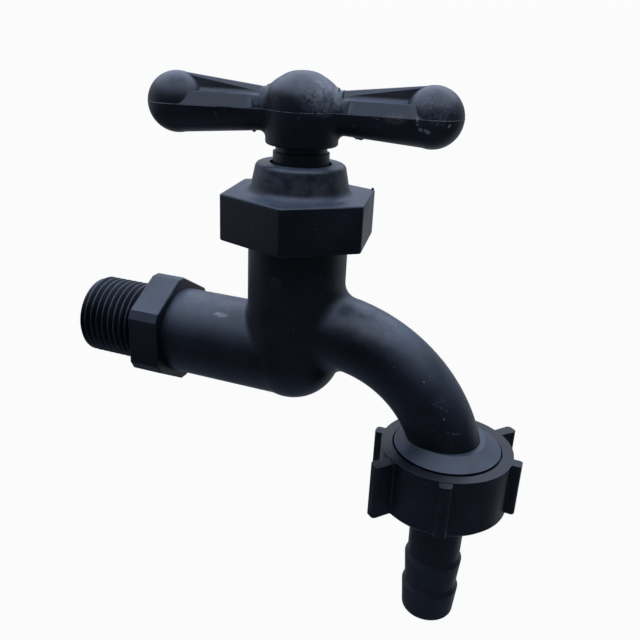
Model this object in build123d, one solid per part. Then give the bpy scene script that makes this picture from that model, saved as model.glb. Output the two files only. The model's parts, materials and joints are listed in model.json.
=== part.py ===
from build123d import *

import os
from math import cos, radians, sin, tan

# Moulded plastic garden tap with a swivel hose union. Millimetres, +Z up along the spindle,
# +X from the wall to the spout. The origin is on the inlet axis, in the shoulder of the inlet thread.

# Inlet: root of a half inch pipe thread, spanner hexagon, pipe
INLET_ROOT_D = 18.63
INLET_STUB = 18.0
INLET_LEAD = 1.2
INLET_BORE_D = 13.0
SPANNER_FLATS = 26.1
SPANNER_WIDTH = 8.5
SPANNER_CORNER_CUT = 0.7
SPANNER_EDGE_R = 0.5
INLET_PIPE_D = 22.6
INLET_TO_SPINDLE = 41.3
INLET_BLEND_R = 1.8

# Valve chamber: round foot, seat on a floor above the inlet bore, weir towards the spout
CHAMBER_D = 24.1
CHAMBER_FOOT_Z = 0.5
CHAMBER_BORE_D = 18.0
CHAMBER_BOWL_R = 7.5
SEAT_FLOOR = 2.5
SEAT_RIM_HEIGHT = 1.2
SEAT_RIM_WALL = 1.5
SEAT_BORE_D = 10.0
WEIR_REACH = 10.5

# Spout: one quarter bend, slightly waisted
SPOUT_AXIS_Z = 8.2
SPOUT_REACH = 41.7
SPOUT_BEND_R = 33.3
SPOUT_OVERREACH = 0.5
SPOUT_ROOT_D = 18.9
SPOUT_WAIST_D = 17.2
SPOUT_END_D = 18.2
SPOUT_BORE_D = 10.6
SPOUT_BLEND_R = 4.0
SPOUT_SECTIONS = 7

# Outlet: conical collar, then the root of a three quarter inch pipe thread
COLLAR_D = 26.2
COLLAR_RISE = 2.2
COLLAR_LAND = 0.8
OUTLET_ROOT_D = 24.12
OUTLET_STUB = 8.5
OUTLET_DROP = 0.4
OUTLET_BORE_D = 15.0
OUTLET_BORE_DEPTH = 6.0
OUTLET_LEAD = 0.8

# Valve: a washer held under the jumper by a screw, the jumper's pin in the foot of the spindle
VALVE_WASHER_D = 15.4
VALVE_WASHER_T = 3.0
JUMPER_D = 16.0
JUMPER_T = 2.5
JUMPER_PIN_D = 6.0
JUMPER_PIN = 7.0
SCREW_D = 3.0
SCREW_LENGTH = 9.0
SCREW_HEAD_D = 6.4
SCREW_HEAD_T = 1.8
SCREW_SLOT_W = 1.0
SCREW_SLOT_DEPTH = 0.8

# Spindle: foot, stem, neck and the square tang inside the handle
SPINDLE_D = 13.2
SPINDLE_FOOT_D = 16.6
SPINDLE_FOOT = 5.0
SPINDLE_NECK_D = 12.0
SPINDLE_NECK = 1.6
SPINDLE_SHOWS = 4.1
TANG_SIDE = 8.0
TANG = 8.5
LIFT = 6.0
LIFT_STOP_GAP = 0.5

# Bonnet nut: hexagon, bell shaped boss, inner skirt that carries the spindle
BONNET_FLATS = 33.3
BONNET_HEX_HEIGHT = 11.0
BONNET_CORNER_R = 0.8
BONNET_EDGE_R = 0.5
BONNET_TURN = 40.2
BONNET_ROOF = 2.4
SKIRT = 12.0
BOSS_HEIGHT = 6.8
BOSS_FOOT_D = 23.7
BOSS_TOP_D = 20.9
BOSS_FOOT_R = 2.0
BOSS_TOP_R = 1.2
STEM_HOLE_D = 14.6
STEM_HOLE_LIP = 1.8
GASKET_T = 1.2
GLAND_RING_T = 2.2

# Handle: domed hub and two arms, fluted above, that end in balls
HANDLE_TURN = 12.5
HUB_D = 17.6
HUB_FOOT_D = 16.8
HUB_HEIGHT = 16.2
HUB_DOME_R = 10.0
HUB_DOME_LEAN = 54.0
HUB_FOOT_R = 0.6
ARM_HEIGHT = 7.8
ARM_ROOT_D = 8.9
ARM_END_D = 13.6
ARM_BLEND_R = 1.5
BALL_D = 13.8
BALL_REACH = 29.3
FLUTE_R = 1.4
FLUTE_FLOOR = 2.8
FLUTE_HUB_GAP = 0.4
SPINE_W = 3.8
SPINE_DRAFT = 16.0
SPINE_ROOT = 4.4
SPINE_SETBACK = 0.7
SPINE_FLAT = 1.2
SPINE_SLANT = 45.0
FACET_LEAN = 30.0
FACET_FADE = 0.1
FACET_HUB_GAP = 1.9

# Hose union: swivel nut with lugs, washer, hose tail with barbs
NUT_D = 32.4
NUT_BORE_D = 27.0
NUT_RIM_DROP = 0.4
NUT_FLOOR = 2.2
NUT_FOOT_CHAMFER = 1.1
LUG_W = 2.6
LUG_END_W = 3.1
LUG_END_R = 0.9
LUG_TOP_GAP = 0.2
LUG_ROOT_R = 0.5
WING_TURN = 49.0
WING_REACH = 21.3
WING_FOOT_GAP = 1.2
RIB_SPREADS = (-50.0, 52.5)
RIB_REACH = 18.4
RIB_FOOT_GAP = 1.8
UNION_WASHER_T = 2.5
TAIL_FLANGE_D = 23.6
TAIL_FLANGE_T = 2.0
TAIL_NECK_D = 14.2
TAIL_NECK = 19.6
TAIL_BORE_D = 9.0
BARBS = 2
BARB_PITCH = 9.0
BARB_CREST_D = 14.8
BARB_ROOT_D = 13.5
BARB_SHOULDER = 1.1
TAIL_TIP = 7.9
TAIL_TIP_R = 0.8

# Clearances, on the radius or along the axis
THREAD_ROOM = 0.1
RUNNING_ROOM = 0.06
LOOSE_ROOM = 0.3
SEAL_ROOM = 0.05

# Heights that follow from the stack of pieces above the inlet bore
CAVITY_Z = INLET_BORE_D / 2 + SEAT_FLOOR
SEAT_Z = CAVITY_Z + SEAT_RIM_HEIGHT
JUMPER_Z = SEAT_Z + VALVE_WASHER_T
FOOT_Z = JUMPER_Z + JUMPER_T
STEM_Z = FOOT_Z + SPINDLE_FOOT
SKIRT_Z = STEM_Z + LIFT + LIFT_STOP_GAP
ROOF_Z = SKIRT_Z + SKIRT
NECK_TOP_Z = ROOF_Z - GASKET_T
HEX_TOP_Z = ROOF_Z + BONNET_ROOF
HEX_FOOT_Z = HEX_TOP_Z - BONNET_HEX_HEIGHT
BOSS_TOP_Z = HEX_TOP_Z + BOSS_HEIGHT
GLAND_TOP_Z = BOSS_TOP_Z - STEM_HOLE_LIP
GLAND_FOOT_Z = GLAND_TOP_Z - GLAND_RING_T - 2 * SEAL_ROOM
HUB_Z = BOSS_TOP_Z + SPINDLE_SHOWS

# Places that follow along the spout and down the union
OUTLET_X = INLET_TO_SPINDLE + SPOUT_REACH
BEND_X = OUTLET_X - SPOUT_BEND_R
BEND_Z = SPOUT_AXIS_Z - SPOUT_BEND_R
OUTLET_Z = BEND_Z - OUTLET_DROP
COLLAR_FOOT_Z = OUTLET_Z + OUTLET_STUB
COLLAR_EDGE_Z = COLLAR_FOOT_Z + COLLAR_LAND
COLLAR_TOP_Z = COLLAR_EDGE_Z + COLLAR_RISE
TAIL_TOP_Z = OUTLET_Z - UNION_WASHER_T
TAIL_SEAT_Z = TAIL_TOP_Z - TAIL_FLANGE_T
NUT_FOOT_Z = TAIL_SEAT_Z - NUT_FLOOR
NUT_RIM_Z = COLLAR_EDGE_Z - NUT_RIM_DROP

# Bores that follow from the pieces that turn or slide in them
SKIRT_BORE_D = SPINDLE_D + 2 * RUNNING_ROOM
SKIRT_D = CHAMBER_BORE_D - 2 * THREAD_ROOM
GLAND_BORE_D = SPINDLE_D + 2 * GLAND_RING_T + 4 * SEAL_ROOM

SPINDLE_AXIS = Pos(INLET_TO_SPINDLE, 0, 0)
OUTLET_AXIS = Pos(OUTLET_X, 0, 0)


def rod(diameter, foot, top):
    """Round bar about Z between two heights."""
    standing = (Align.CENTER, Align.CENTER, Align.MIN)
    return Pos(0, 0, foot) * Cylinder(diameter / 2, top - foot, align=standing)


def tube(outer, inner, foot, top):
    return rod(outer, foot, top) - rod(inner, foot, top)


def turned(outline):
    """Solid of revolution about Z from corners given as (radius, height)."""
    return revolve(Plane.XZ * make_face(Polyline(*outline, close=True)), Axis.Z)


def along_x(shape):
    """Lays a shape that stands on +Z along +X."""
    return Rot(0, 90, 0) * shape


def end_edges(solid):
    """The edges of a prism's two end faces."""
    levels = solid.edges().group_by(Axis.Z)
    return levels[0] + levels[-1]


def joined(first, second, blend_r):
    """Fuses two solids and rounds the edges where they meet."""
    both = first + second
    return fillet(new_edges(first, second, combined=both), blend_r)


def spanner_hexagon():
    across_corners = SPANNER_FLATS / cos(radians(30))
    hexagon = RegularPolygon(SPANNER_FLATS / 2, 6, major_radius=False)
    corners = RegularPolygon(across_corners / 2 - SPANNER_CORNER_CUT, 6, major_radius=False, rotation=30)
    block = extrude(hexagon & corners, SPANNER_WIDTH)
    return along_x(fillet(end_edges(block), SPANNER_EDGE_R))


def inlet_stub():
    stub = rod(INLET_ROOT_D, -INLET_STUB, 0)
    return along_x(chamfer(stub.edges().group_by(Axis.Z)[0], INLET_LEAD))


def spout_section(step):
    """One circle square to the bend's centre line, with a diameter on a parabola through the waist."""
    share = step / (SPOUT_SECTIONS - 1)
    turn = radians(90 * share)
    across = SPOUT_BEND_R + SPOUT_OVERREACH
    centre = (BEND_X + across * sin(turn), 0, BEND_Z + SPOUT_BEND_R * cos(turn))
    square = Plane(centre, x_dir=(0, 1, 0), z_dir=(across * cos(turn), 0, -SPOUT_BEND_R * sin(turn)))
    diameter = SPOUT_ROOT_D * (1 - share) * (1 - 2 * share)
    diameter += SPOUT_WAIST_D * 4 * share * (1 - share)
    diameter += SPOUT_END_D * share * (2 * share - 1)
    return square * Circle(diameter / 2)


def spout():
    run = Pos(INLET_TO_SPINDLE, 0, SPOUT_AXIS_Z) * along_x(rod(SPOUT_ROOT_D, 0, BEND_X - INLET_TO_SPINDLE))
    return run + loft([spout_section(step) for step in range(SPOUT_SECTIONS)])


def outlet():
    """Conical collar around the end of the spout and the threaded stub below it."""
    stub_r = OUTLET_ROOT_D / 2
    return OUTLET_AXIS * turned([
        (0, OUTLET_Z),
        (stub_r - OUTLET_LEAD, OUTLET_Z),
        (stub_r, OUTLET_Z + OUTLET_LEAD),
        (stub_r, COLLAR_FOOT_Z),
        (COLLAR_D / 2, COLLAR_FOOT_Z),
        (COLLAR_D / 2, COLLAR_EDGE_Z),
        (SPOUT_END_D / 2, COLLAR_TOP_Z),
        (0, COLLAR_TOP_Z),
    ])


def spout_waterway():
    """Bore of the spout, which starts above the weir, and the wider mouth at the outlet."""
    start = Vector(INLET_TO_SPINDLE, 0, SPOUT_AXIS_Z)
    bend_start = Vector(BEND_X, 0, SPOUT_AXIS_Z)
    bend_end = Vector(OUTLET_X, 0, BEND_Z)
    end = Vector(OUTLET_X, 0, OUTLET_Z)
    centre_line = Wire([
        Edge.make_line(start, bend_start),
        Edge.make_tangent_arc(bend_start, Vector(1, 0, 0), bend_end),
        Edge.make_line(bend_end, end),
    ])
    bore = sweep(Plane(start, z_dir=(1, 0, 0)) * Circle(SPOUT_BORE_D / 2), path=centre_line)
    weir = SPINDLE_AXIS * Box(2 * WEIR_REACH, CHAMBER_D, 2 * CAVITY_Z)
    mouth = OUTLET_AXIS * rod(OUTLET_BORE_D, OUTLET_Z, OUTLET_Z + OUTLET_BORE_DEPTH)
    return bore - weir + mouth


def inlet_waterway():
    """Inlet bore, the bowl below the seat floor and the hole through the seat."""
    bore = along_x(rod(INLET_BORE_D, -INLET_STUB, INLET_TO_SPINDLE))
    bowl = Sphere(CHAMBER_BOWL_R) & rod(2 * CHAMBER_BOWL_R, -CHAMBER_BOWL_R, INLET_BORE_D / 2)
    return bore + SPINDLE_AXIS * (bowl + rod(SEAT_BORE_D, 0, SEAT_Z))


def tap_body():
    pipe = along_x(rod(INLET_PIPE_D, 0, INLET_TO_SPINDLE))
    foot = Pos(0, 0, CHAMBER_FOOT_Z) * Sphere(CHAMBER_D / 2)
    wall = rod(CHAMBER_D, CHAMBER_FOOT_Z, NECK_TOP_Z)
    chamber = SPINDLE_AXIS * Rot(0, 0, 90) * (wall + foot)
    body = joined(pipe, chamber, INLET_BLEND_R)
    body = joined(body, spout(), SPOUT_BLEND_R)
    body += outlet() + spanner_hexagon() + inlet_stub()
    cavity = rod(CHAMBER_BORE_D, CAVITY_Z, NECK_TOP_Z)
    rim = tube(SEAT_BORE_D + 2 * SEAT_RIM_WALL, SEAT_BORE_D, CAVITY_Z, SEAT_Z)
    return body - SPINDLE_AXIS * cavity - spout_waterway() - inlet_waterway() + SPINDLE_AXIS * rim


def valve_washer():
    return SPINDLE_AXIS * tube(VALVE_WASHER_D, SCREW_D + 2 * SEAL_ROOM, SEAT_Z, JUMPER_Z)


def jumper():
    disc = rod(JUMPER_D, JUMPER_Z, FOOT_Z)
    pin = rod(JUMPER_PIN_D, JUMPER_Z, FOOT_Z + JUMPER_PIN)
    pilot = rod(SCREW_D + 2 * SEAL_ROOM, JUMPER_Z, SEAT_Z + SCREW_LENGTH + SEAL_ROOM)
    return SPINDLE_AXIS * (disc + pin - pilot)


def washer_screw():
    head = rod(SCREW_HEAD_D, SEAT_Z - SCREW_HEAD_T, SEAT_Z)
    slot = Pos(0, 0, SEAT_Z - SCREW_HEAD_T) * Box(SCREW_HEAD_D, SCREW_SLOT_W, 2 * SCREW_SLOT_DEPTH)
    return SPINDLE_AXIS * (head - slot + rod(SCREW_D, SEAT_Z, SEAT_Z + SCREW_LENGTH))


def spindle():
    foot = rod(SPINDLE_FOOT_D, FOOT_Z, STEM_Z)
    stem = rod(SPINDLE_D, STEM_Z, HUB_Z - SPINDLE_NECK)
    neck = rod(SPINDLE_NECK_D, HUB_Z - SPINDLE_NECK, HUB_Z)
    tang = Pos(0, 0, HUB_Z + TANG / 2) * Box(TANG_SIDE, TANG_SIDE, TANG)
    socket = rod(JUMPER_PIN_D + 2 * RUNNING_ROOM, FOOT_Z, FOOT_Z + JUMPER_PIN + LOOSE_ROOM)
    return SPINDLE_AXIS * (foot + stem + neck + Rot(0, 0, HANDLE_TURN) * tang - socket)


def boss():
    """Bell of the bonnet, whose taper runs on down to the roof inside the hexagon."""
    taper = (BOSS_FOOT_D - BOSS_TOP_D) / 2 / BOSS_HEIGHT
    height = BOSS_HEIGHT + BONNET_ROOF
    root_r = BOSS_FOOT_D / 2 + taper * BONNET_ROOF
    return Pos(0, 0, ROOF_Z + height / 2) * Cone(root_r, BOSS_TOP_D / 2, height)


def bonnet_nut():
    hexagon = RegularPolygon(BONNET_FLATS / 2, 6, major_radius=False, rotation=BONNET_TURN)
    hexagon = fillet(hexagon.vertices(), BONNET_CORNER_R)
    block = Pos(0, 0, HEX_FOOT_Z) * extrude(hexagon, BONNET_HEX_HEIGHT)
    block = fillet(end_edges(block), BONNET_EDGE_R)
    nut = joined(block, boss(), BOSS_FOOT_R)
    nut = fillet(nut.edges().group_by(Axis.Z)[-1], BOSS_TOP_R)
    nut -= rod(CHAMBER_D + 2 * THREAD_ROOM, HEX_FOOT_Z, ROOF_Z)
    nut += rod(SKIRT_D, SKIRT_Z, ROOF_Z)
    nut -= rod(SKIRT_BORE_D, SKIRT_Z, GLAND_FOOT_Z)
    nut -= rod(GLAND_BORE_D, GLAND_FOOT_Z, GLAND_TOP_Z)
    return SPINDLE_AXIS * (nut - rod(STEM_HOLE_D, GLAND_TOP_Z, BOSS_TOP_Z))


def bonnet_gasket():
    return SPINDLE_AXIS * tube(CHAMBER_D, CHAMBER_BORE_D, NECK_TOP_Z, ROOF_Z)


def gland_ring():
    ring_r = SPINDLE_D / 2 + SEAL_ROOM + GLAND_RING_T / 2
    return SPINDLE_AXIS * Pos(0, 0, (GLAND_FOOT_Z + GLAND_TOP_Z) / 2) * Torus(ring_r, GLAND_RING_T / 2)


def hub():
    """Round post that runs smoothly into its domed top."""
    dome_z = HUB_HEIGHT - HUB_DOME_R
    leans = [radians(HUB_DOME_LEAN), radians(HUB_DOME_LEAN / 2)]
    dome = [(HUB_DOME_R * sin(lean), dome_z + HUB_DOME_R * cos(lean)) for lean in leans]
    foot = (HUB_FOOT_D / 2, 0)
    top = (0, HUB_HEIGHT)
    side = Spline(foot, (HUB_D / 2, ARM_HEIGHT), *dome, top, tangents=((0, 1), (-1, 0)))
    post = revolve(Plane.YZ * make_face(side + Polyline(top, (0, 0), foot)), Axis.Z)
    return fillet(post.edges().group_by(Axis.Z)[0], HUB_FOOT_R)


def arm():
    """Plain cone of one arm along +X, which widens to its ball."""
    return Plane.YZ * Pos(0, 0, BALL_REACH / 2) * Cone(ARM_ROOT_D / 2, ARM_END_D / 2, BALL_REACH)


def flute():
    """Cutter for the hollow beside the spine on top of an arm, whose wall has some draft."""
    foot = SPINE_W / 2
    top = FLUTE_FLOOR + ARM_END_D / 2
    draft = (top - FLUTE_FLOOR) * tan(radians(SPINE_DRAFT))
    corners = [(foot, FLUTE_FLOOR), (ARM_END_D, FLUTE_FLOOR), (ARM_END_D, top), (foot - draft, top)]
    outline = make_face(Polyline(*corners, close=True))
    inner_corner = outline.vertices().group_by(Axis.Y)[0].sort_by(Axis.X)[0]
    start = HUB_D / 2 + FLUTE_HUB_GAP
    return Plane.YZ * Pos(0, 0, start) * extrude(fillet(inner_corner, FLUTE_R), BALL_REACH - start)


def facet():
    """Cutter that flattens an arm's side above its middle and fades out towards the hub."""
    start_x = HUB_D / 2 + FACET_HUB_GAP
    arm_r = ARM_ROOT_D / 2 + (ARM_END_D - ARM_ROOT_D) / 2 * start_x / BALL_REACH
    start = Vector(start_x, arm_r + FACET_FADE, 0)
    along = Vector(BALL_REACH, ARM_END_D / 2, 0) - start
    lean = Vector(0, -sin(radians(FACET_LEAN)), cos(radians(FACET_LEAN)))
    outside = Plane(start, x_dir=along, z_dir=lean.cross(along))
    return outside * Box(along.length, ARM_END_D, ARM_END_D, align=(Align.MIN, Align.MAX, Align.MIN))


def crown():
    """Cutter that levels the top of an arm's spine, from the hub up to the ball, and slants its edges."""
    start = Vector(HUB_D / 2 - SPINE_SETBACK, 0, SPINE_ROOT)
    along = Vector(BALL_REACH, 0, ARM_END_D / 2) - start
    above = Plane(start, x_dir=along, z_dir=along.cross(Vector(0, 1, 0)))
    on_top = (Align.MIN, Align.CENTER, Align.MIN)
    level = above * Box(along.length, ARM_END_D, ARM_END_D, align=on_top)
    edge = Pos(SPINE_SETBACK + FLUTE_HUB_GAP, SPINE_FLAT / 2, 0) * Rot(-SPINE_SLANT, 0, 0)
    slant = above * edge * Box(along.length, SPINE_W, SPINE_W, align=on_top)
    return level + slant + mirror(slant, about=Plane.XZ)


def handle():
    near_side = flute() + facet()
    cutters = near_side + mirror(near_side, about=Plane.XZ) + crown()
    ball = Pos(BALL_REACH, 0, 0) * Sphere(BALL_D / 2)
    turns = [Pos(0, 0, ARM_HEIGHT) * Rot(0, 0, turn) for turn in (0, 180)]
    lever = joined(turns[0] * arm() + turns[1] * arm(), hub(), ARM_BLEND_R)
    for turn in turns:
        lever = lever - turn * cutters + turn * ball
    side = TANG_SIDE + 2 * SEAL_ROOM
    socket = Pos(0, 0, (TANG + LOOSE_ROOM) / 2) * Box(side, side, TANG + LOOSE_ROOM)
    return SPINDLE_AXIS * Pos(0, 0, HUB_Z) * Rot(0, 0, HANDLE_TURN) * (lever - socket)


def lug(reach, foot_gap):
    """Upright lug on +X that widens outwards."""
    inner = (NUT_BORE_D / 2 + NUT_D / 2) / 2
    corners = [(inner, -LUG_W / 2), (reach, -LUG_END_W / 2), (reach, LUG_END_W / 2), (inner, LUG_W / 2)]
    outline = make_face(Polyline(*corners, close=True))
    outline = fillet(outline.vertices().group_by(Axis.X)[-1], LUG_END_R)
    foot = NUT_FOOT_Z + foot_gap
    return Pos(0, 0, foot) * extrude(outline, NUT_RIM_Z - LUG_TOP_GAP - foot)


def lugs():
    """Two wings, each between two ribs."""
    wing = lug(WING_REACH, WING_FOOT_GAP)
    rib = lug(RIB_REACH, RIB_FOOT_GAP)
    group = wing + [Rot(0, 0, spread) * rib for spread in RIB_SPREADS]
    return [Rot(0, 0, turn) * group for turn in (WING_TURN, WING_TURN + 180)]


def union_nut():
    barrel = rod(NUT_D, NUT_FOOT_Z, NUT_RIM_Z)
    barrel = chamfer(barrel.edges().group_by(Axis.Z)[0], NUT_FOOT_CHAMFER)
    nut = barrel + lugs()
    roots = new_edges(barrel, *lugs(), combined=nut).filter_by(Axis.Z)
    nut = fillet(roots, LUG_ROOT_R)
    bore = rod(NUT_BORE_D, TAIL_SEAT_Z, NUT_RIM_Z)
    hole = rod(TAIL_NECK_D + 2 * LOOSE_ROOM, NUT_FOOT_Z, TAIL_SEAT_Z)
    return OUTLET_AXIS * (nut - bore - hole)


def union_washer():
    return OUTLET_AXIS * tube(TAIL_FLANGE_D, OUTLET_BORE_D, TAIL_TOP_Z, OUTLET_Z)


def hose_tail():
    crests = [TAIL_SEAT_Z - TAIL_NECK - BARB_PITCH * step for step in range(BARBS)]
    outline = [(TAIL_BORE_D / 2, TAIL_TOP_Z), (TAIL_FLANGE_D / 2, TAIL_TOP_Z)]
    outline += [(TAIL_FLANGE_D / 2, TAIL_SEAT_Z), (TAIL_NECK_D / 2, TAIL_SEAT_Z)]
    for crest in crests:
        outline += [(BARB_ROOT_D / 2, crest + BARB_SHOULDER), (BARB_CREST_D / 2, crest)]
    tip = crests[-1] - TAIL_TIP
    outline += [(BARB_ROOT_D / 2, tip), (TAIL_BORE_D / 2, tip)]
    tail = turned(outline)
    tip_edge = tail.edges().group_by(Axis.Z)[0].sort_by(SortBy.LENGTH)[-1]
    return OUTLET_AXIS * fillet(tip_edge, TAIL_TIP_R)


PIECES = (
    tap_body,
    bonnet_nut,
    bonnet_gasket,
    gland_ring,
    spindle,
    handle,
    jumper,
    valve_washer,
    washer_screw,
    union_nut,
    union_washer,
    hose_tail,
)

os.makedirs("parts", exist_ok=True)
for piece in PIECES:
    export_step(piece(), f"parts/{piece.__name__}.step")
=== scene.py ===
# %% [markdown]
# # A moulded plastic garden tap
# The tap's solids come ready made and to size, so this lesson only dresses them: a black plastic that
# has been handled, the screw threads that are too fine for the solids, the seams and crumbs that a
# mould leaves, and a plain white studio to look at it all.

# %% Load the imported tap
import json
from math import cos, hypot, radians, sin, tau

import bmesh
import bpy
from mathutils import Matrix, Vector, noise


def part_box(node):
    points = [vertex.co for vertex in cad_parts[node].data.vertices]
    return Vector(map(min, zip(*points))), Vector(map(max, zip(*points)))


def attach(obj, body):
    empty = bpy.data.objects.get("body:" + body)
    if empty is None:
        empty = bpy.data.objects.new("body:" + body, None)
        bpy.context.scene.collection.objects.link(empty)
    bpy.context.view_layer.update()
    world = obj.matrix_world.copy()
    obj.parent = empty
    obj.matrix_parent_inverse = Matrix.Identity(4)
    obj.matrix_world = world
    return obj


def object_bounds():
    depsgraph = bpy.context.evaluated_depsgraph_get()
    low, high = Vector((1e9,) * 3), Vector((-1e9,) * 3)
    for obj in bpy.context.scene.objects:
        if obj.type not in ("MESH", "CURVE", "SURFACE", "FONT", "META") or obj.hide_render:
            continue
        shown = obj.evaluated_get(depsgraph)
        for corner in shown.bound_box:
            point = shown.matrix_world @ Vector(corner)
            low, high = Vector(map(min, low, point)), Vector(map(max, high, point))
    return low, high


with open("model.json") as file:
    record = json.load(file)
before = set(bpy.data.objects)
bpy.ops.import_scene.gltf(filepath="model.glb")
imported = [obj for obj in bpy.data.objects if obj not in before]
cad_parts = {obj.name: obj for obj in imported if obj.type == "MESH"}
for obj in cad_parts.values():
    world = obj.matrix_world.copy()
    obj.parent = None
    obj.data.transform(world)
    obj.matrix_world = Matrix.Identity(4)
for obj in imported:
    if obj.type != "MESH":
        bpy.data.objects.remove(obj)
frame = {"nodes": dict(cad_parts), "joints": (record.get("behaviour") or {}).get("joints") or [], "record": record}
solid_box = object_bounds()
nodes = frame["nodes"]
MM = 0.001
print("nodes:", ", ".join(sorted(nodes)))

# %% [markdown]
# ## Small helpers
# Colours are written as they look on a screen, in hex, and Blender's shaders want linear light, so one
# function converts them. Another adds a shader node, because a material is easiest to read when every node
# is one call that names its settings and what feeds it. The last two start an empty material, and turn a
# size in millimetres into the scale of a texture.


# %% Colour and node helpers
def linear(colour):
    """Linear RGBA of an sRGB hex colour."""
    channels = [int(colour[i:i + 2], 16) / 255 for i in (1, 3, 5)]
    return [c / 12.92 if c <= 0.04045 else ((c + 0.055) / 1.055) ** 2.4 for c in channels] + [1.0]


def add_node(tree, kind, inputs=None, **settings):
    """Adds a node. A socket in inputs is linked, and anything else is its value."""
    node = tree.nodes.new(kind)
    for name, value in settings.items():
        setattr(node, name, value)
    for key, value in (inputs or {}).items():
        if isinstance(value, bpy.types.NodeSocket):
            tree.links.new(value, node.inputs[key])
        else:
            node.inputs[key].default_value = value
    return node


def empty_material(name):
    """New material whose node tree is empty."""
    material = bpy.data.materials.new(name)
    material.use_nodes = True
    material.node_tree.nodes.clear()
    return material


def per_metre(size_mm):
    """Texture scale whose features are about this many millimetres across."""
    return 1 / (size_mm * MM)


print("mid grey in linear light:", [round(c, 3) for c in linear("#808080")[:3]])

# %% [markdown]
# ## Black moulded plastic
# The tap is filled polypropylene, black all through. Straight from the mould it is satin, with a faint
# eroded grain; hands and weather add a grey bloom, rubbed edges and the odd scuff. A single dark
# colour would look like a hole in the picture, so the colour is mixed from a cloudy bloom, specks of dust,
# a paler film on whatever faces up, which is dust and also a painted top sheen, and pale edges, found by
# comparing the true normal with a rounded one, which are rubbed wear and also a painted edge highlight.
# Marks are put down one by one in the tap's own space: a patch is a small ellipsoid broken up by noise, and
# a scratch is everything near a line between two points.

# %% The plastic's values
PLASTIC = "#080c15"
BLOOM_AND_DARK_REFLECTION = "#181c25"
# Pale edge colour: rubbed wear, and also a painted highlight along the rounded edges.
EDGE_WEAR_AND_HIGHLIGHT = "#525965"
# Paler colour on upward faces: a film of dust, and also a painted top sheen where the soft box falls.
DUST_AND_SHEEN = "#485160"
DUST_AND_SHEEN_OLD, DUST_AND_SHEEN_NEW = 1.0, 0.05
DUST_AND_SHEEN_THIN = 0.4
DUST_AND_SHEEN_CLOUD = (0.3, 0.6)
DUST_AND_SHEEN_UPWARD = (0.25, 0.95)
PALE_DUST_AND_REFLECTION = "#80848b"
DUST_MM = 2.4
DUST_SPECK, DUST_SHARE = 0.09, 0.35
BLOOM_MM = 11
BLOOM_CLOUD = (0.38, 0.68)
EDGE_MM = 0.4
EDGE_SAMPLES = 6
EDGE_TURN, EDGE_SHARE = (0.985, 0.86), 0.8
PATCH_FULL = 0.45
FLECK_NOISE = (0.32, 0.66)
GRIT_MM = 0.7
GRIT_NOISE = (0.4, 0.6)
SATIN_CLOUD, SATIN_ROUGH = (0.3, 0.7), (0.36, 0.5)
ERODED_MM = 0.45
ERODED_DEPTH_MM, ERODED_STRENGTH = 0.03, 0.35
PLASTIC_IOR = 1.49
COLOUR_A, COLOUR_B, COLOUR_OUT = 6, 7, 2


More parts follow.
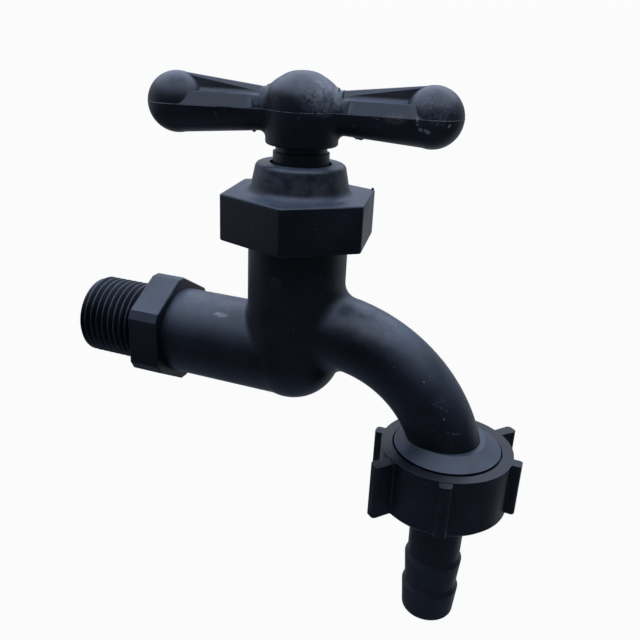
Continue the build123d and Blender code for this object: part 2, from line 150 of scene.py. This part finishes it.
# %% One material, with marks where a piece has them
def black_polypropylene(name, dust_and_sheen_share, patches=(), scratches=()):
    """Moulded black plastic. A patch is a centre and reach in mm, a colour, an amount and a fleck size
    in mm. A scratch is two ends and a half width in mm, a colour and an amount."""
    material = empty_material(name)
    tree = material.node_tree
    place = add_node(tree, "ShaderNodeTexCoord").outputs["Object"]

    cloud = add_node(tree, "ShaderNodeTexNoise", {
        "Vector": place, "Scale": per_metre(BLOOM_MM), "Detail": 5.0})
    bloom = add_node(tree, "ShaderNodeMapRange", {
        "Value": cloud.outputs[0], "From Min": BLOOM_CLOUD[0], "From Max": BLOOM_CLOUD[1]})
    colour = add_node(tree, "ShaderNodeMix", {
        0: bloom.outputs[0], COLOUR_A: linear(PLASTIC), COLOUR_B: linear(BLOOM_AND_DARK_REFLECTION)}, data_type="RGBA")

    cells = add_node(tree, "ShaderNodeTexVoronoi", {"Vector": place, "Scale": per_metre(DUST_MM)})
    speck = add_node(tree, "ShaderNodeMapRange", {
        "Value": cells.outputs["Distance"], "From Min": DUST_SPECK, "From Max": DUST_SPECK / 2,
        "To Max": DUST_SHARE})
    colour = add_node(tree, "ShaderNodeMix", {
        0: speck.outputs[0], COLOUR_A: colour.outputs[COLOUR_OUT], COLOUR_B: linear(PALE_DUST_AND_REFLECTION)},
        data_type="RGBA")

    # Upward faces turn paler: settled dust, and also a painted top sheen standing in for the overhead light.
    true = add_node(tree, "ShaderNodeNewGeometry")
    facing = add_node(tree, "ShaderNodeSeparateXYZ", {0: true.outputs["Normal"]})
    upward = add_node(tree, "ShaderNodeMapRange", {
        "Value": facing.outputs["Z"], "From Min": DUST_AND_SHEEN_UPWARD[0], "From Max": DUST_AND_SHEEN_UPWARD[1]})
    clouded_dust_and_sheen = add_node(tree, "ShaderNodeMapRange", {
        "Value": cloud.outputs[0], "From Min": DUST_AND_SHEEN_CLOUD[0], "From Max": DUST_AND_SHEEN_CLOUD[1],
        "To Min": DUST_AND_SHEEN_THIN * dust_and_sheen_share, "To Max": dust_and_sheen_share})
    top_dust_and_sheen = add_node(tree, "ShaderNodeMath", {
        0: upward.outputs[0], 1: clouded_dust_and_sheen.outputs[0]}, operation="MULTIPLY")
    colour = add_node(tree, "ShaderNodeMix", {
        0: top_dust_and_sheen.outputs[0], COLOUR_A: colour.outputs[COLOUR_OUT], COLOUR_B: linear(DUST_AND_SHEEN)},
        data_type="RGBA")

    # Edges, found where a rounded normal turns from the true one, go pale: rubbed wear and a painted highlight.
    rounded = add_node(tree, "ShaderNodeBevel", {"Radius": EDGE_MM * MM}, samples=EDGE_SAMPLES)
    turn = add_node(tree, "ShaderNodeVectorMath", {
        0: rounded.outputs[0], 1: true.outputs["Normal"]}, operation="DOT_PRODUCT")
    edge = add_node(tree, "ShaderNodeMapRange", {
        "Value": turn.outputs["Value"], "From Min": EDGE_TURN[0], "From Max": EDGE_TURN[1],
        "To Max": EDGE_SHARE})
    rubbed_and_highlit = add_node(tree, "ShaderNodeMath", {
        0: edge.outputs[0], 1: bloom.outputs[0]}, operation="MULTIPLY")
    colour = add_node(tree, "ShaderNodeMix", {
        0: rubbed_and_highlit.outputs[0], COLOUR_A: colour.outputs[COLOUR_OUT], COLOUR_B: linear(EDGE_WEAR_AND_HIGHLIGHT)},
        data_type="RGBA")

    for centre, reach, mark_colour, amount, fleck_mm in patches:
        offset = add_node(tree, "ShaderNodeVectorMath", {
            0: place, 1: [c * MM for c in centre]}, operation="SUBTRACT")
        inside = add_node(tree, "ShaderNodeVectorMath", {
            0: offset.outputs[0], 1: [r * MM for r in reach]}, operation="DIVIDE")
        away = add_node(tree, "ShaderNodeVectorMath", {0: inside.outputs[0]}, operation="LENGTH")
        patch = add_node(tree, "ShaderNodeMapRange", {
            "Value": away.outputs["Value"], "From Min": 1.0, "From Max": PATCH_FULL, "To Max": amount})
        fleck = add_node(tree, "ShaderNodeTexNoise", {
            "Vector": place, "Scale": per_metre(fleck_mm), "Detail": 3.0, "Roughness": 0.7})
        broken = add_node(tree, "ShaderNodeMapRange", {
            "Value": fleck.outputs[0], "From Min": FLECK_NOISE[0], "From Max": FLECK_NOISE[1]})
        share = add_node(tree, "ShaderNodeMath", {
            0: patch.outputs[0], 1: broken.outputs[0]}, operation="MULTIPLY")
        colour = add_node(tree, "ShaderNodeMix", {
            0: share.outputs[0], COLOUR_A: colour.outputs[COLOUR_OUT], COLOUR_B: linear(mark_colour)},
            data_type="RGBA")

    grit = add_node(tree, "ShaderNodeTexNoise", {
        "Vector": place, "Scale": per_metre(GRIT_MM), "Detail": 2.0})
    skips = add_node(tree, "ShaderNodeMapRange", {
        "Value": grit.outputs[0], "From Min": GRIT_NOISE[0], "From Max": GRIT_NOISE[1]})
    for start, end, half_width, mark_colour, amount in scratches:
        line = Vector(end) - Vector(start)
        offset = add_node(tree, "ShaderNodeVectorMath", {
            0: place, 1: [c * MM for c in start]}, operation="SUBTRACT")
        along = add_node(tree, "ShaderNodeVectorMath", {
            0: offset.outputs[0], 1: line / (line.length_squared * MM)}, operation="DOT_PRODUCT")
        held = add_node(tree, "ShaderNodeClamp", {0: along.outputs["Value"]})
        foot = add_node(tree, "ShaderNodeVectorMath", {
            0: line * MM, "Scale": held.outputs[0]}, operation="SCALE")
        gap = add_node(tree, "ShaderNodeVectorMath", {
            0: offset.outputs[0], 1: foot.outputs[0]}, operation="DISTANCE")
        near = add_node(tree, "ShaderNodeMapRange", {
            "Value": gap.outputs["Value"], "From Min": half_width * MM, "From Max": half_width * MM / 3,
            "To Max": amount})
        share = add_node(tree, "ShaderNodeMath", {
            0: near.outputs[0], 1: skips.outputs[0]}, operation="MULTIPLY")
        colour = add_node(tree, "ShaderNodeMix", {
            0: share.outputs[0], COLOUR_A: colour.outputs[COLOUR_OUT], COLOUR_B: linear(mark_colour)},
            data_type="RGBA")

    satin = add_node(tree, "ShaderNodeMapRange", {
        "Value": cloud.outputs[0], "From Min": SATIN_CLOUD[0], "From Max": SATIN_CLOUD[1],
        "To Min": SATIN_ROUGH[0], "To Max": SATIN_ROUGH[1]})
    eroded = add_node(tree, "ShaderNodeTexNoise", {
        "Vector": place, "Scale": per_metre(ERODED_MM), "Detail": 2.0})
    bump = add_node(tree, "ShaderNodeBump", {
        "Strength": ERODED_STRENGTH, "Distance": ERODED_DEPTH_MM * MM, "Height": eroded.outputs[0]})
    shader = add_node(tree, "ShaderNodeBsdfPrincipled", {
        "Base Color": colour.outputs[COLOUR_OUT], "Roughness": satin.outputs[0], "IOR": PLASTIC_IOR,
        "Specular IOR Level": 0.5, "Normal": bump.outputs[0]})
    add_node(tree, "ShaderNodeOutputMaterial", {"Surface": shader.outputs[0]})
    print(name, "has", len(tree.nodes), "nodes,", len(patches), "patches and", len(scratches), "scratches")
    return material


# %% [markdown]
# ## Handling marks and painted reflections on the handle
# The handle has been gripped and dropped: a brownish oval scuff where the mould line was squashed, white
# nicks and grey streaks on one ball, dust on the hub, paler on the dome's right as a painted reflection,
# pale roots of the arms, and darker spots on the dome and balls that are painted dark reflections. Each
# mark is one line here, placed in millimetres on the tap, so it can be moved or left out alone.

# %% Plastic of the handle
CHALK = "#b4b4b0"
SCUFF = "#6b6264"
STREAK = "#767a84"
# Pale colour for rubbed arm roots, and for painted light on the body's tops and the bonnet's boss.
PALE_WEAR_AND_PAINTED_LIGHT = "#6e7580"
HANDLE_PATCHES = [
    ((63.4, -1.4, 60.1), (3.1, 1.7, 1.5), SCUFF, 1.0, 0.6),
    ((48.4, -4.8, 62.8), (3.6, 3.6, 3.4), PALE_DUST_AND_REFLECTION, 0.5, 0.7),
    # Dust on the dome's right, widened and strengthened as a painted reflection of a bright side.
    ((47.0, -4.0, 64.0), (6.5, 6.5, 5.0), PALE_DUST_AND_REFLECTION, 0.9, 1.0),
    ((32.9, -6.9, 61.9), (2.6, 2.4, 2.2), PALE_WEAR_AND_PAINTED_LIGHT, 0.6, 1.0),
    ((52.0, -2.7, 62.0), (2.6, 2.4, 2.2), PALE_WEAR_AND_PAINTED_LIGHT, 0.6, 1.0),
    ((71.5, 1.0, 63.0), (6.5, 7.0, 5.5), PALE_WEAR_AND_PAINTED_LIGHT, 0.4, 0.6),
    # Darker spots on the dome top and both balls are painted dark reflections.
    ((44.3, -5.9, 66.2), (3.4, 3.4, 3.0), BLOOM_AND_DARK_REFLECTION, 0.8, 2.0),
    ((15.2, -10.6, 65.1), (2.8, 2.8, 2.5), BLOOM_AND_DARK_REFLECTION, 0.9, 2.0),
    ((71.4, 2.5, 65.8), (2.6, 2.6, 2.4), BLOOM_AND_DARK_REFLECTION, 0.5, 2.0),
]
HANDLE_SCRATCHES = [
    ((67.5, -0.65, 61.7), (68.0, -0.85, 60.5), 0.32, CHALK, 1.0),
    ((68.0, -0.85, 60.5), (68.2, -0.6, 59.2), 0.3, CHALK, 1.0),
    ((68.9, -0.35, 58.25), (70.6, 0.1, 57.8), 0.6, CHALK, 0.9),
    ((74.5, 1.35, 59.15), (74.8, 1.5, 59.6), 0.35, CHALK, 1.0),
    ((71.2, -0.45, 59.7), (72.0, -0.2, 61.6), 0.45, STREAK, 0.35),
    ((72.4, -0.1, 59.7), (73.0, 0.25, 61.9), 0.5, STREAK, 0.4),
    ((73.4, 0.4, 59.9), (74.1, 0.9, 61.9), 0.45, STREAK, 0.35),
    ((58.6, -2.1, 60.0), (59.8, -1.9, 59.8), 0.3, STREAK, 0.5),
    ((54.2, -2.15, 58.0), (54.5, -2.1, 58.0), 0.35, STREAK, 0.5),
    ((24.0, -9.7, 59.2), (24.6, -9.5, 58.3), 0.25, STREAK, 0.3),
]
handle_plastic = black_polypropylene(
    "polypropylene, black, moulded, gripped", DUST_AND_SHEEN_OLD, HANDLE_PATCHES, HANDLE_SCRATCHES)

# %% [markdown]
# ## Knocks and painted light on the body
# Fine scratches curl over the end of the spout where buckets have hung, a chalk smear has dried on the
# inlet pipe, the chamber has a faint scuff, and the tops of pipe and spout are paler with painted sheen. The
# bonnet's boss, under the handle, gets a pale patch of painted light, and the union's nut and tail are
# newer, with hardly any dust film or painted top sheen.

# %% Plastics of the body and the clean pieces
BODY_PATCHES = [
    ((23.4, -6.5, 9.3), (2.4, 0.9, 0.9), CHALK, 1.0, 0.5),
    ((40.9, -12.0, 22.4), (2.0, 1.0, 2.0), SCUFF, 0.3, 1.2),
    # Pale tops of the inlet pipe and the spout: painted sheen standing in for the soft box's highlight.
    ((18.0, -2.0, 11.0), (15.0, 8.0, 5.0), PALE_WEAR_AND_PAINTED_LIGHT, 0.5, 4.0),
    ((63.0, -2.0, 14.0), (12.0, 8.0, 7.0), PALE_WEAR_AND_PAINTED_LIGHT, 0.5, 4.0),
]
BODY_SCRATCHES = [
    ((79.67, -7.54, -2.19), (81.91, -5.85, -1.55), 0.2, STREAK, 0.4),
    ((79.7, -7.5, -2.1), (81.5, -7.0, -3.0), 0.18, STREAK, 0.4),
    ((81.5, -7.0, -3.0), (83.04, -6.32, -3.97), 0.18, STREAK, 0.5),
    ((82.6, -7.3, -5.5), (82.7, -7.25, -5.7), 0.25, CHALK, 0.6),
    ((83.83, -7.54, -8.59), (85.4, -6.8, -9.2), 0.2, STREAK, 0.45),
    ((85.4, -6.8, -9.2), (86.97, -5.47, -9.39), 0.2, STREAK, 0.45),
    ((84.5, -7.5, -7.1), (84.7, -7.4, -7.3), 0.2, CHALK, 0.4),
    ((76.9, -6.8, 2.6), (77.1, -6.7, 2.5), 0.3, CHALK, 0.4),
    ((85.3, -7.55, -11.6), (85.6, -7.4, -11.7), 0.25, CHALK, 0.4),
]
body_plastic = black_polypropylene(
    "polypropylene, black, moulded, knocked", DUST_AND_SHEEN_OLD, BODY_PATCHES, BODY_SCRATCHES)
# A broad pale patch over the bonnet's boss is painted light from the front and left.
BONNET_PAINTED_LIGHT = [
    ((41.3, 0.0, 46.0), (18.0, 18.0, 10.0), PALE_WEAR_AND_PAINTED_LIGHT, 0.45, 3.0),
]
bonnet_plastic = black_polypropylene("polypropylene, black, moulded, painted light", DUST_AND_SHEEN_OLD, BONNET_PAINTED_LIGHT)
plastic = black_polypropylene("polypropylene, black, moulded", DUST_AND_SHEEN_OLD)
# The union's nut and tail get hardly any of the dust film and painted top sheen.
union_plastic = black_polypropylene("polypropylene, black, moulded, clean", DUST_AND_SHEEN_NEW)

# %% [markdown]
# ## Rubber and steel inside
# The washers and the ring about the spindle are black nitrile rubber, and the washer's screw is turned
# stainless steel. They show only when the tap comes apart, so their patterns are simple: powdery mottling
# on the rubber, and turning marks round the screw's axis.

# %% Nitrile rubber
RUBBER, RUBBER_POWDER = "#17181a", "#2a2b2d"
POWDER_MM = 1.5
RUBBER_ROUGH, RUBBER_IOR = 0.75, 1.52


def nitrile_rubber():
    """Pressed black rubber with a powdery mottling."""
    material = empty_material("nitrile rubber, black, pressed")
    tree = material.node_tree
    place = add_node(tree, "ShaderNodeTexCoord").outputs["Object"]
    powder = add_node(tree, "ShaderNodeTexNoise", {
        "Vector": place, "Scale": per_metre(POWDER_MM), "Detail": 4.0})
    colour = add_node(tree, "ShaderNodeMix", {
        0: powder.outputs[0], COLOUR_A: linear(RUBBER), COLOUR_B: linear(RUBBER_POWDER)}, data_type="RGBA")
    shader = add_node(tree, "ShaderNodeBsdfPrincipled", {
        "Base Color": colour.outputs[COLOUR_OUT], "Roughness": RUBBER_ROUGH, "IOR": RUBBER_IOR})
    add_node(tree, "ShaderNodeOutputMaterial", {"Surface": shader.outputs[0]})
    return material


rubber = nitrile_rubber()
print("made", rubber.name)

# %% Turned steel
STEEL = "#b9b7b2"
TURNING_MM = 0.6
STEEL_SMOOTH, STEEL_ROUGH = 0.25, 0.4


def turned_steel():
    """Stainless steel with turning marks round its Z axis."""
    material = empty_material("stainless steel, turned")
    tree = material.node_tree
    place = add_node(tree, "ShaderNodeTexCoord").outputs["Object"]
    rings = add_node(tree, "ShaderNodeTexWave", {
        "Vector": place, "Scale": per_metre(TURNING_MM), "Distortion": 0.5}, bands_direction="Z")
    rough = add_node(tree, "ShaderNodeMapRange", {
        "Value": rings.outputs[1], "To Min": STEEL_SMOOTH, "To Max": STEEL_ROUGH})
    shader = add_node(tree, "ShaderNodeBsdfPrincipled", {
        "Base Color": linear(STEEL), "Metallic": 1.0, "Roughness": rough.outputs[0]})
    add_node(tree, "ShaderNodeOutputMaterial", {"Surface": shader.outputs[0]})
    return material


steel = turned_steel()
print("made", steel.name)

# %% Dress the solids
FINISHES = {"tap_body": body_plastic, "handle": handle_plastic, "bonnet_nut": bonnet_plastic}
FINISHES["washer_screw"] = steel
FINISHES.update({name: union_plastic for name in ("union_nut", "hose_tail")})
FINISHES.update({name: rubber for name in ("bonnet_gasket", "gland_ring", "valve_washer", "union_washer")})
for name, node in nodes.items():
    node.data.materials.clear()
    node.data.materials.append(FINISHES.get(name, plastic))
print("dressed", len(nodes), "solids")

# %% [markdown]
# ## Screw threads
# A pipe thread is a ridge of 55 degree flanks wound round the stub, fourteen turns to the inch. A texture
# would give it no outline, and a stack of rings would not climb, so one small cross section is spun round
# the axis while it rises: bmesh's spin takes that rise as dvec, the step along the axis. The section
# reaches a little under the stub's surface, so no gap shows at its foot.

# %% A wound ridge
INCH = 25.4 * MM
PITCH = INCH / 14
STEPS = 48
FOOT_SHARE = 0.46
CREST_SHARE = 0.1
CREST_ROUND = 0.08 * MM
SINK = 0.12 * MM
SPARE_TURNS = 3
SHARP_DEG = 30


def wound_ridge(root_r, crest_r, length):
    """Thread ridge about +Z between the heights 0 and length, out from root_r or in from it."""
    outwards = 1 if crest_r > root_r else -1
    foot = root_r - outwards * SINK
    shoulder = crest_r - outwards * CREST_ROUND
    section = [
        (foot, -FOOT_SHARE), (shoulder, -CREST_SHARE), (crest_r, 0), (shoulder, CREST_SHARE),
        (foot, FOOT_SHARE)]
    turns = int(length / PITCH) + SPARE_TURNS
    bm = bmesh.new()
    corners = [bm.verts.new((radius, 0, (height - 1) * PITCH)) for radius, height in section]
    sides = [bm.edges.new(pair) for pair in zip(corners, corners[1:] + corners[:1])]
    bmesh.ops.spin(
        bm, geom=corners + sides, cent=(0, 0, 0), axis=(0, 0, 1), dvec=(0, 0, PITCH / STEPS),
        angle=tau * turns, steps=STEPS * turns, use_merge=False, use_normal_flip=False, use_duplicate=False)
    for height, facing in ((0, -1), (length, 1)):
        bmesh.ops.bisect_plane(
            bm, geom=bm.verts[:] + bm.edges[:] + bm.faces[:], plane_co=(0, 0, height),
            plane_no=(0, 0, facing), clear_outer=True)
    bmesh.ops.holes_fill(bm, edges=[e for e in bm.edges if e.is_boundary], sides=0)
    bmesh.ops.recalc_face_normals(bm, faces=bm.faces[:])
    return bm


def finish_piece(name, bm, body, material, sharp_deg=SHARP_DEG):
    """Turns a bmesh into a piece that rides on a body of the tap."""
    mesh = bpy.data.meshes.new(name)
    bm.to_mesh(mesh)
    bm.free()
    mesh.polygons.foreach_set("use_smooth", [True] * len(mesh.polygons))
    mesh.set_sharp_from_angle(angle=radians(sharp_deg))
    mesh.materials.append(material)
    piece = bpy.data.objects.new(name, mesh)
    bpy.context.scene.collection.objects.link(piece)
    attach(piece, body)
    print(name, "has", len(mesh.polygons), "faces")
    return piece


# %% [markdown]
# ## Thread of the inlet
# The half inch thread runs from the spanner hexagon to the end of the stub, where a chamfer cuts the last
# turns low. The stub's radius is read from the tap's mount, and the end from its solid.

# %% Inlet thread
inlet_mount = next(m for m in frame["record"]["mounts"] if m["name"] == "inlet_thread")
inlet_root = inlet_mount["dims"]["r_mm"] * MM
INLET_CREST_D = 20.955 * MM
inlet_length = -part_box("tap_body")[0].x
END_CREST = 0.4 * MM
END_GAP = 0.1 * MM
ridge = wound_ridge(inlet_root, INLET_CREST_D / 2, inlet_length - END_GAP)
for vert in ridge.verts:
    radius = hypot(vert.co.x, vert.co.y)
    limit = inlet_root + END_CREST + inlet_length - vert.co.z
    if radius > limit:
        vert.co.xy *= limit / radius
lay_down = Matrix.Rotation(radians(-90), 3, "Y")
bmesh.ops.rotate(ridge, verts=ridge.verts[:], cent=(0, 0, 0), matrix=lay_down)
finish_piece("inlet_thread", ridge, "tap", body_plastic)

# %% [markdown]
# ## Thread of the outlet, and in the union nut
# The outlet's three quarter inch thread hides in the union nut, below the collar. The nut has the same
# ridge turned inwards, half a pitch away, so that the two mesh, and still mesh while the nut is unscrewed.

# %% Outlet and nut threads
RUN_OUT = 1.6 * MM
OUTLET_ROOT_D, OUTLET_CREST_D = 24.12 * MM, 26.7 * MM
NUT_ROOT_D, NUT_CREST_D = 27.0 * MM, 24.9 * MM
SHORTER_TURNS = 1.5
outlet_x = (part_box("hose_tail")[0].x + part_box("hose_tail")[1].x) / 2
outlet_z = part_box("union_washer")[1].z
nut_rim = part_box("union_nut")[1].z
thread_length = nut_rim - RUN_OUT - outlet_z
ridge = wound_ridge(OUTLET_ROOT_D / 2, OUTLET_CREST_D / 2, thread_length)
bmesh.ops.translate(ridge, verts=ridge.verts[:], vec=(outlet_x, 0, outlet_z))
finish_piece("outlet_thread", ridge, "tap", body_plastic)
nut_length = (int(thread_length / PITCH) - SHORTER_TURNS) * PITCH
ridge = wound_ridge(NUT_ROOT_D / 2, NUT_CREST_D / 2, nut_length)
bmesh.ops.translate(ridge, verts=ridge.verts[:], vec=(outlet_x, 0, outlet_z + PITCH / 2))
finish_piece("nut_thread", ridge, "nut", plastic)

# %% [markdown]
# ## The mould seam
# The handle was moulded in two halves, and where they met it has a hair line of flash all the way round, at
# the height of the arms. Tracing it by hand would miss the surface, so a copy of the handle is sliced to a
# thin band there, its middle line is pushed out a little, and the band is given thickness inwards.

# %% A seam sliced from a solid
SAME_SPOT = 0.002 * MM


def sliced_seam(name, at, facing, width, height, keep):
    """Raised line where a plane crosses a solid, as a bmesh. keep chooses the outside stretches."""
    bm = bmesh.new()
    bm.from_mesh(nodes[name].data)
    bmesh.ops.remove_doubles(bm, verts=bm.verts[:], dist=SAME_SPOT)
    for side in (-1, 1):
        bmesh.ops.bisect_plane(
            bm, geom=bm.verts[:] + bm.edges[:] + bm.faces[:], plane_co=at + facing * side * width / 2,
            plane_no=facing * side, clear_outer=True)
    hidden = [f for f in bm.faces if not keep(f.calc_center_median())]
    bmesh.ops.delete(bm, geom=hidden, context="FACES")
    cut = bmesh.ops.bisect_plane(
        bm, geom=bm.verts[:] + bm.edges[:] + bm.faces[:], plane_co=at, plane_no=facing)
    bm.normal_update()
    for vert in [g for g in cut["geom_cut"] if isinstance(g, bmesh.types.BMVert)]:
        vert.co += vert.normal * height
    bmesh.ops.solidify(bm, geom=bm.faces[:], thickness=height)
    return bm


# %% Seam of the handle
ARM_HEIGHT = 7.8 * MM
SEAM_WIDTH = 0.3 * MM
SEAM_HEIGHT = 0.08 * MM
SOCKET_REACH = 7 * MM
hub_axis = next(j for j in frame["joints"] if j["name"] == "handle_turn")["pos_m"]
hub_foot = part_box("handle")[0].z
arm_plane = Vector((hub_axis[0], hub_axis[1], hub_foot + ARM_HEIGHT))
seam = sliced_seam(
    "handle", arm_plane, Vector((0, 0, 1)), SEAM_WIDTH, SEAM_HEIGHT,
    lambda p: hypot(p.x - arm_plane.x, p.y - arm_plane.y) > SOCKET_REACH)
finish_piece("handle_seam", seam, "spindle", handle_plastic)

# %% [markdown]
# ## Crumbs of flash
# Where the moulds were worn they let a little plastic squeeze out: two crumbs under the arms beside the
# hub, a nub at the end of one ball and a burr on a corner of the bonnet. Each starts as an icosphere that
# is roughened with noise, squashed and sunk half into its piece.

# %% Crumbs, nub and burr
LUMP_HEIGHT, LUMP_RATE = 0.45, 1.7
CRUMB_SHARP_DEG = 60
CRUMBS = [
    ("crumb_under_left_arm", "spindle", (30.3, -2.4, 55.4), (0.4, 0.35, 0.9)),
    ("crumb_under_right_arm", "spindle", (54.2, 2.9, 55.2), (1.4, 0.5, 0.8)),
    ("nub_on_left_ball", "spindle", (6.0, -7.8, 60.3), (0.35, 0.6, 0.35)),
    ("burr_on_bonnet", "tap", (55.5, 12.0, 41.4), (0.4, 0.4, 0.7)),
]
for name, body, spot, reach in CRUMBS:
    bm = bmesh.new()
    bmesh.ops.create_icosphere(bm, subdivisions=3, radius=1.0)
    for vert in bm.verts:
        vert.co *= 1 + LUMP_HEIGHT * noise.noise(vert.co * LUMP_RATE + Vector(spot))
    bmesh.ops.scale(bm, verts=bm.verts[:], vec=[r * MM for r in reach])
    bmesh.ops.translate(bm, verts=bm.verts[:], vec=[c * MM for c in spot])
    finish_piece(name, bm, body, plastic, CRUMB_SHARP_DEG)

# %% [markdown]
# ## Floor, backdrop and white background
# The tap hangs high over a plain pale floor, before a white backdrop, with a card on its left for that side
# to reflect. Paper and world turn plain white for rays that come straight from the camera or through glass,
# and less so for reflections, so that the light on the tap stays plain, its shadow still falls, and black
# plastic stays black.

# %% Matt white paper
WHITE_SHARE = 0.96
PAPER = "#bcc6d6"


def seen_white(tree, reflected):
    """Share of white that a ray meets: 1 from the camera or through glass, reflected off a sheen."""
    ray = add_node(tree, "ShaderNodeLightPath")
    mirrored = add_node(tree, "ShaderNodeMath", {
        0: ray.outputs["Is Glossy Ray"], 1: reflected}, operation="MULTIPLY")
    through = add_node(tree, "ShaderNodeMath", {
        0: ray.outputs["Is Transmission Ray"], 1: mirrored.outputs[0]}, operation="MAXIMUM")
    seen = add_node(tree, "ShaderNodeMath", {
        0: ray.outputs["Is Camera Ray"], 1: through.outputs[0]}, operation="MAXIMUM")
    return seen.outputs[0]


def white_paper(name, reflected):
    """Matt paper that the camera sees as white."""
    material = empty_material(name)
    tree = material.node_tree
    share = add_node(tree, "ShaderNodeMath", {
        0: seen_white(tree, reflected), 1: WHITE_SHARE}, operation="MULTIPLY")
    matt = add_node(tree, "ShaderNodeBsdfDiffuse", {"Color": linear(PAPER)})
    glow = add_node(tree, "ShaderNodeEmission", {"Color": linear("#ffffff"), "Strength": 1.0})
    mixed = add_node(tree, "ShaderNodeMixShader", {
        0: share.outputs[0], 1: matt.outputs[0], 2: glow.outputs[0]})
    add_node(tree, "ShaderNodeOutputMaterial", {"Surface": mixed.outputs[0]})
    return material


# %% Floor, backdrop and card
FLOOR_REFLECTED, CARD_REFLECTED, BACKDROP_REFLECTED = 0.04, 0.3, 0.3
FLOOR_DROP = 1.3
FLOOR_SIZE = 4.0
BACKDROP_AWAY = 0.9
BACKDROP_SIZE = 1.6
CARD_SIZE, CARD_LIFT = 0.5, 0.25
middle = (Vector(solid_box[0]) + Vector(solid_box[1])) / 2
backdrop_at = Matrix.Translation((0, BACKDROP_AWAY, BACKDROP_SIZE - FLOOR_DROP))
card_at = Matrix.Translation((-BACKDROP_AWAY, 0, CARD_LIFT))
SHEETS = [
    ("floor", FLOOR_SIZE, Matrix.Translation((0, 0, -FLOOR_DROP)), FLOOR_REFLECTED),
    ("backdrop", BACKDROP_SIZE, backdrop_at @ Matrix.Rotation(radians(90), 4, "X"), BACKDROP_REFLECTED),
    ("left_card", CARD_SIZE, card_at @ Matrix.Rotation(radians(90), 4, "Y"), CARD_REFLECTED),
]
centred = Matrix.Translation(middle)
for name, size, place, reflected in SHEETS:
    bm = bmesh.new()
    bmesh.ops.create_grid(bm, x_segments=1, y_segments=1, size=size, matrix=centred @ place)
    mesh = bpy.data.meshes.new(name)
    bm.to_mesh(mesh)
    bm.free()
    mesh.materials.append(white_paper("paper, white, matt, " + name, reflected))
    sheet = bpy.data.objects.new(name, mesh)
    bpy.context.scene.collection.objects.link(sheet)
    print(name, "is", size * 2, "m wide")

# %% [markdown]
# ## Soft studio light
# One large soft box overhead gives the tops their cool sheen and leaves the undersides dark, as in the
# picture, and a faint even world keeps the shadows from closing. The level is plain: a mid grey card
# leaning back under the soft box comes out about mid grey.

# %% World
ROOM_SHADE, ROOM_WHITE = "#2c3342", "#fafafa"
world = bpy.data.worlds.new("studio")
bpy.context.scene.world = world
world.use_nodes = True
tree = world.node_tree
tree.nodes.clear()
shade = add_node(tree, "ShaderNodeMix", {
    0: seen_white(tree, FLOOR_REFLECTED), COLOUR_A: linear(ROOM_SHADE), COLOUR_B: linear(ROOM_WHITE)},
    data_type="RGBA")
sky = add_node(tree, "ShaderNodeBackground", {"Color": shade.outputs[COLOUR_OUT], "Strength": 1.0})
add_node(tree, "ShaderNodeOutputWorld", {"Surface": sky.outputs[0]})
print("made world", world.name)

# %% Soft box
SOFT_BOX_OFFSET = Vector((-0.05, 0.1, 0.62))
SOFT_BOX_SIZE = 1.6
SOFT_BOX_WATTS = 15.0
SOFT_BOX_TINT = "#dbe8ff"
light = bpy.data.lights.new("soft_box", "AREA")
light.size = SOFT_BOX_SIZE
light.energy = SOFT_BOX_WATTS
light.color = linear(SOFT_BOX_TINT)[:3]
lamp = bpy.data.objects.new("soft_box", light)
lamp.location = middle + SOFT_BOX_OFFSET
lamp.rotation_euler = (-SOFT_BOX_OFFSET).to_track_quat("-Z", "Y").to_euler()
bpy.context.scene.collection.objects.link(lamp)
print("soft box of", SOFT_BOX_WATTS, "W")

# %% [markdown]
# ## Camera
# The picture was taken from about a hand's length away, a little above and to the right of the spout, with
# the camera tilted slightly. Its place and angles were found by matching the tap's own edges.

# %% Camera at the picture's angle
CAMERA_MM = (106.12, -155.92, 77.12)
AZIMUTH, ELEVATION, ROLL = radians(20.464), radians(21.919), radians(2.829)
IMAGE_PX, FOCAL_PX, SENSOR_MM = 640, 720.08, 36.0
CLIP_START = 5 * MM
view = Vector((-sin(AZIMUTH) * cos(ELEVATION), cos(AZIMUTH) * cos(ELEVATION), -sin(ELEVATION)))
level_right = Vector((cos(AZIMUTH), sin(AZIMUTH), 0))
level_up = level_right.cross(view)
right = level_right * cos(ROLL) + level_up * sin(ROLL)
up = level_up * cos(ROLL) - level_right * sin(ROLL)
lens = bpy.data.cameras.new("camera")
lens.sensor_width = SENSOR_MM
lens.lens = FOCAL_PX / IMAGE_PX * SENSOR_MM
lens.clip_start = CLIP_START
camera = bpy.data.objects.new("camera", lens)
turned = Matrix((right, up, -view)).transposed().to_4x4()
camera.matrix_world = Matrix.Translation(Vector(CAMERA_MM) * MM) @ turned
bpy.context.scene.collection.objects.link(camera)
bpy.context.scene.camera = camera
bpy.context.scene.view_settings.view_transform = "Standard"
print("lens", round(lens.lens, 2), "mm")
